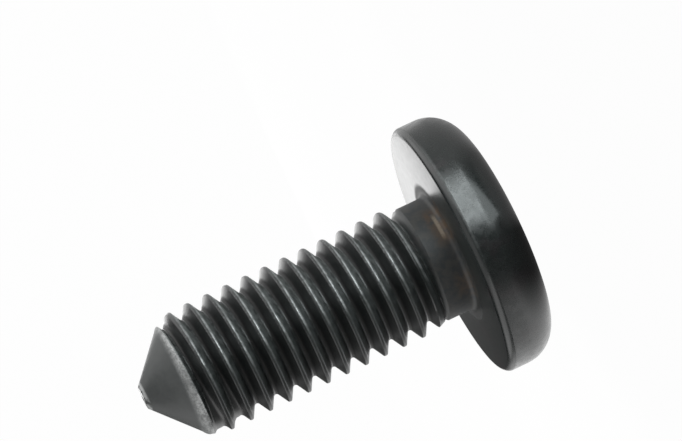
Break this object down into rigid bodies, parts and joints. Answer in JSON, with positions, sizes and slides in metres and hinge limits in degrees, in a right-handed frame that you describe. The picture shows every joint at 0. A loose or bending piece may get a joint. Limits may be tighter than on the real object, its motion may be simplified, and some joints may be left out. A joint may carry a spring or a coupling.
{
  "type": "hex socket bolt",
  "caption": "Short fully threaded steel bolt with a low round disc head, a hex socket in its outer face and a cone point.",
  "frame": {"origin": "centre of the head's outer face, where the hex socket opens; the bolt stands on that face", "axes": "+Z along the shank to the cone point; +X through the corner of the hex socket that the thread's helix starts over"},
  "size_m": [0.0158, 0.0158, 0.0235],
  "materials": {
    "black_oxide_steel": "black oxide, satin, with the steel showing where the thread's crests and edges are worn"
  },
  "bodies": {
    "root": {"bolt": "black_oxide_steel"}
  },
  "joints": []
}
